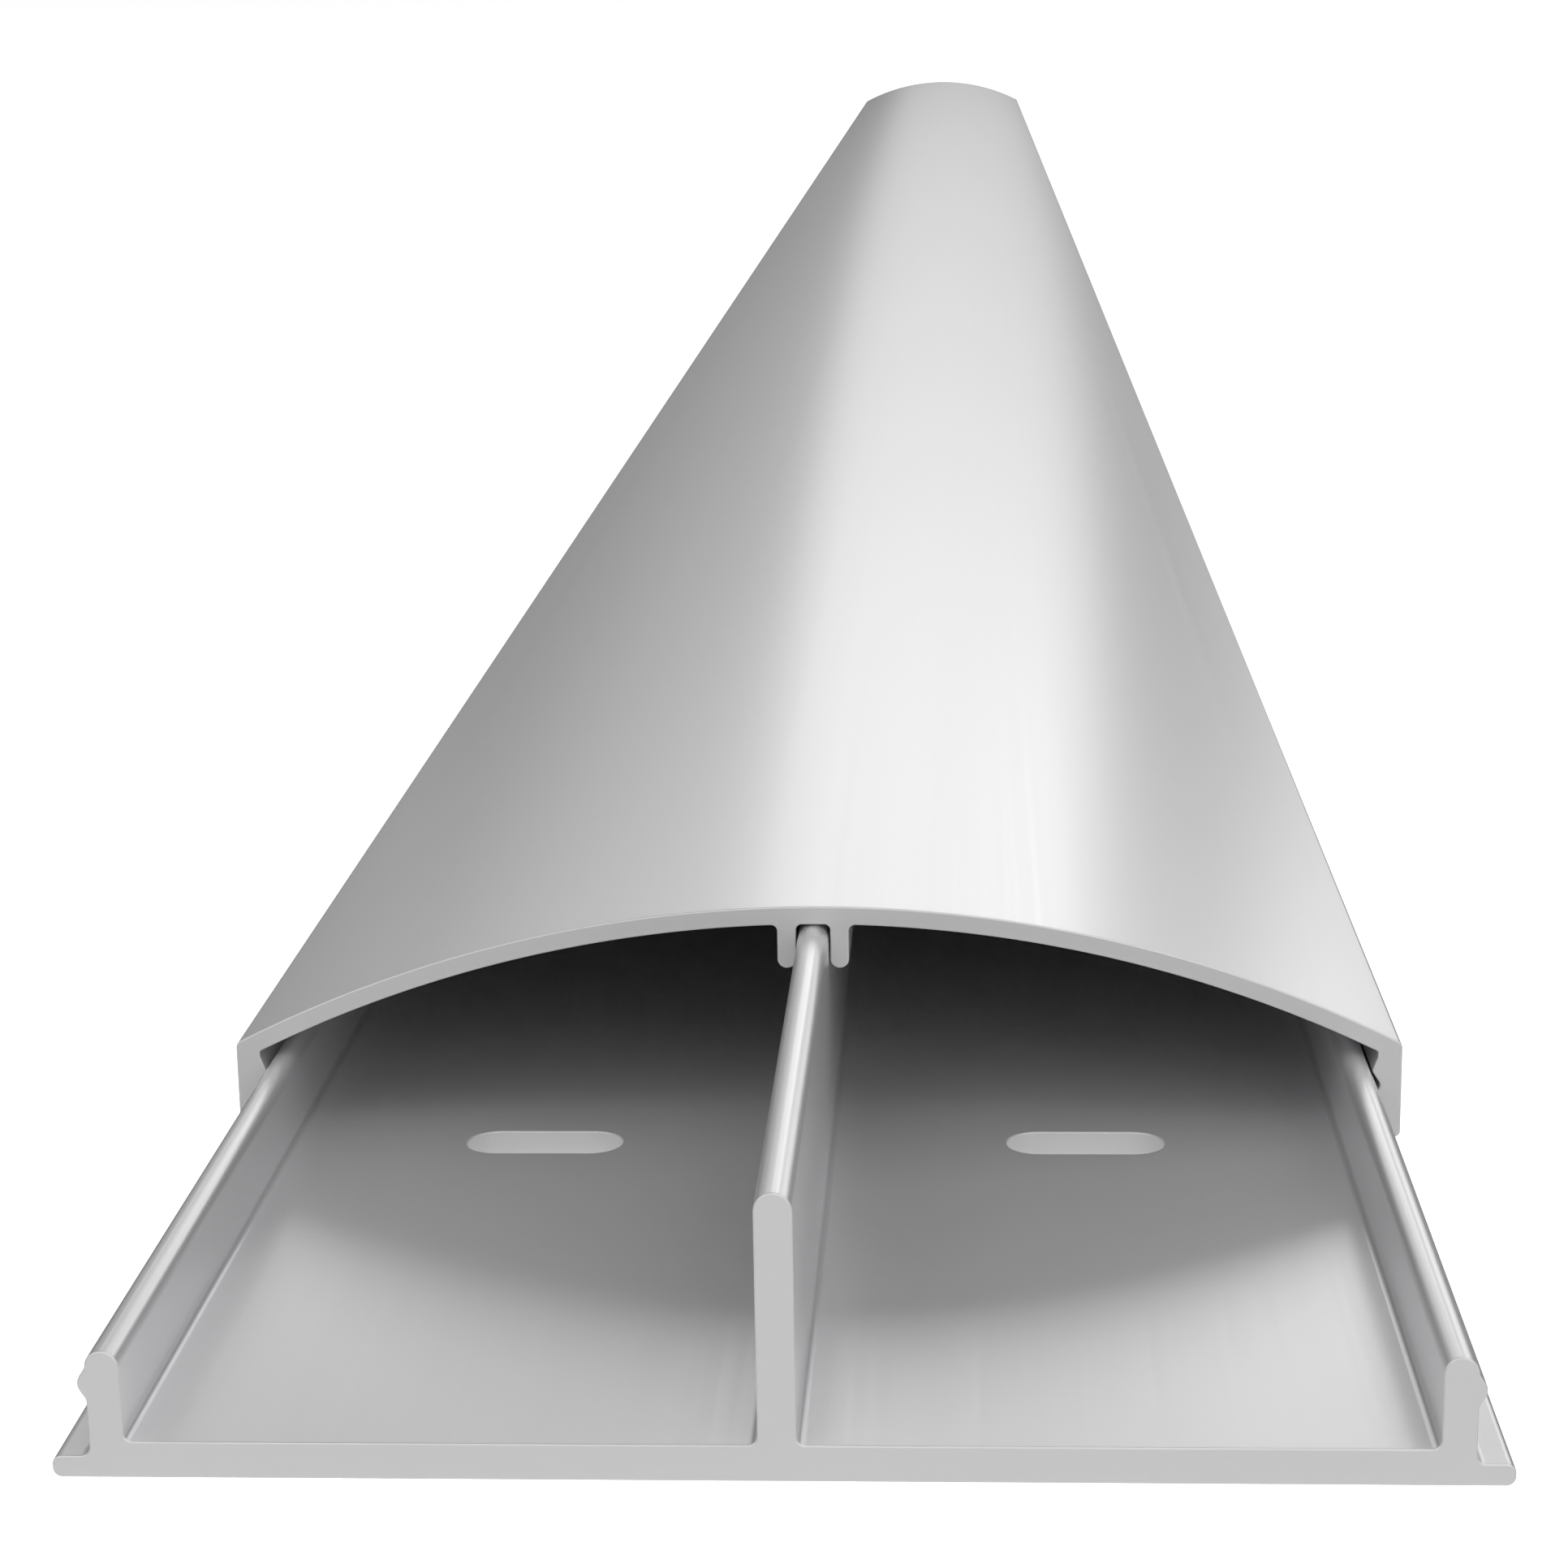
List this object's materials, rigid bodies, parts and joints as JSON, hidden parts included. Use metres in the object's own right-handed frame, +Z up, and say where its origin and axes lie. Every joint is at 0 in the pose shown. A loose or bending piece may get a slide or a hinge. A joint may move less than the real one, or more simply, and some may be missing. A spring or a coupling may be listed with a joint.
{
  "type": "cable raceway",
  "caption": "Low arched floor cable raceway: a flat base channel with a centre divider, side walls and screw slots, under an arched click-fit cover that is slid back at one end.",
  "frame": {"origin": "on the floor, under the middle of the whole raceway", "axes": "+Y along the raceway, from the end where the base shows to the end where the cover overhangs; +Z up from the floor; +X across"},
  "size_m": [0.0754, 1.5476, 0.017],
  "materials": {
    "base_aluminium": "satin anodised, natural silver, with faint lengthwise die lines and sawn ends",
    "cover_aluminium": "satin anodised, natural silver, smooth and evenly sheened, with sawn ends"
  },
  "bodies": {
    "root": {"base_channel": "base_aluminium", "snap_cover": "cover_aluminium"}
  },
  "joints": []
}
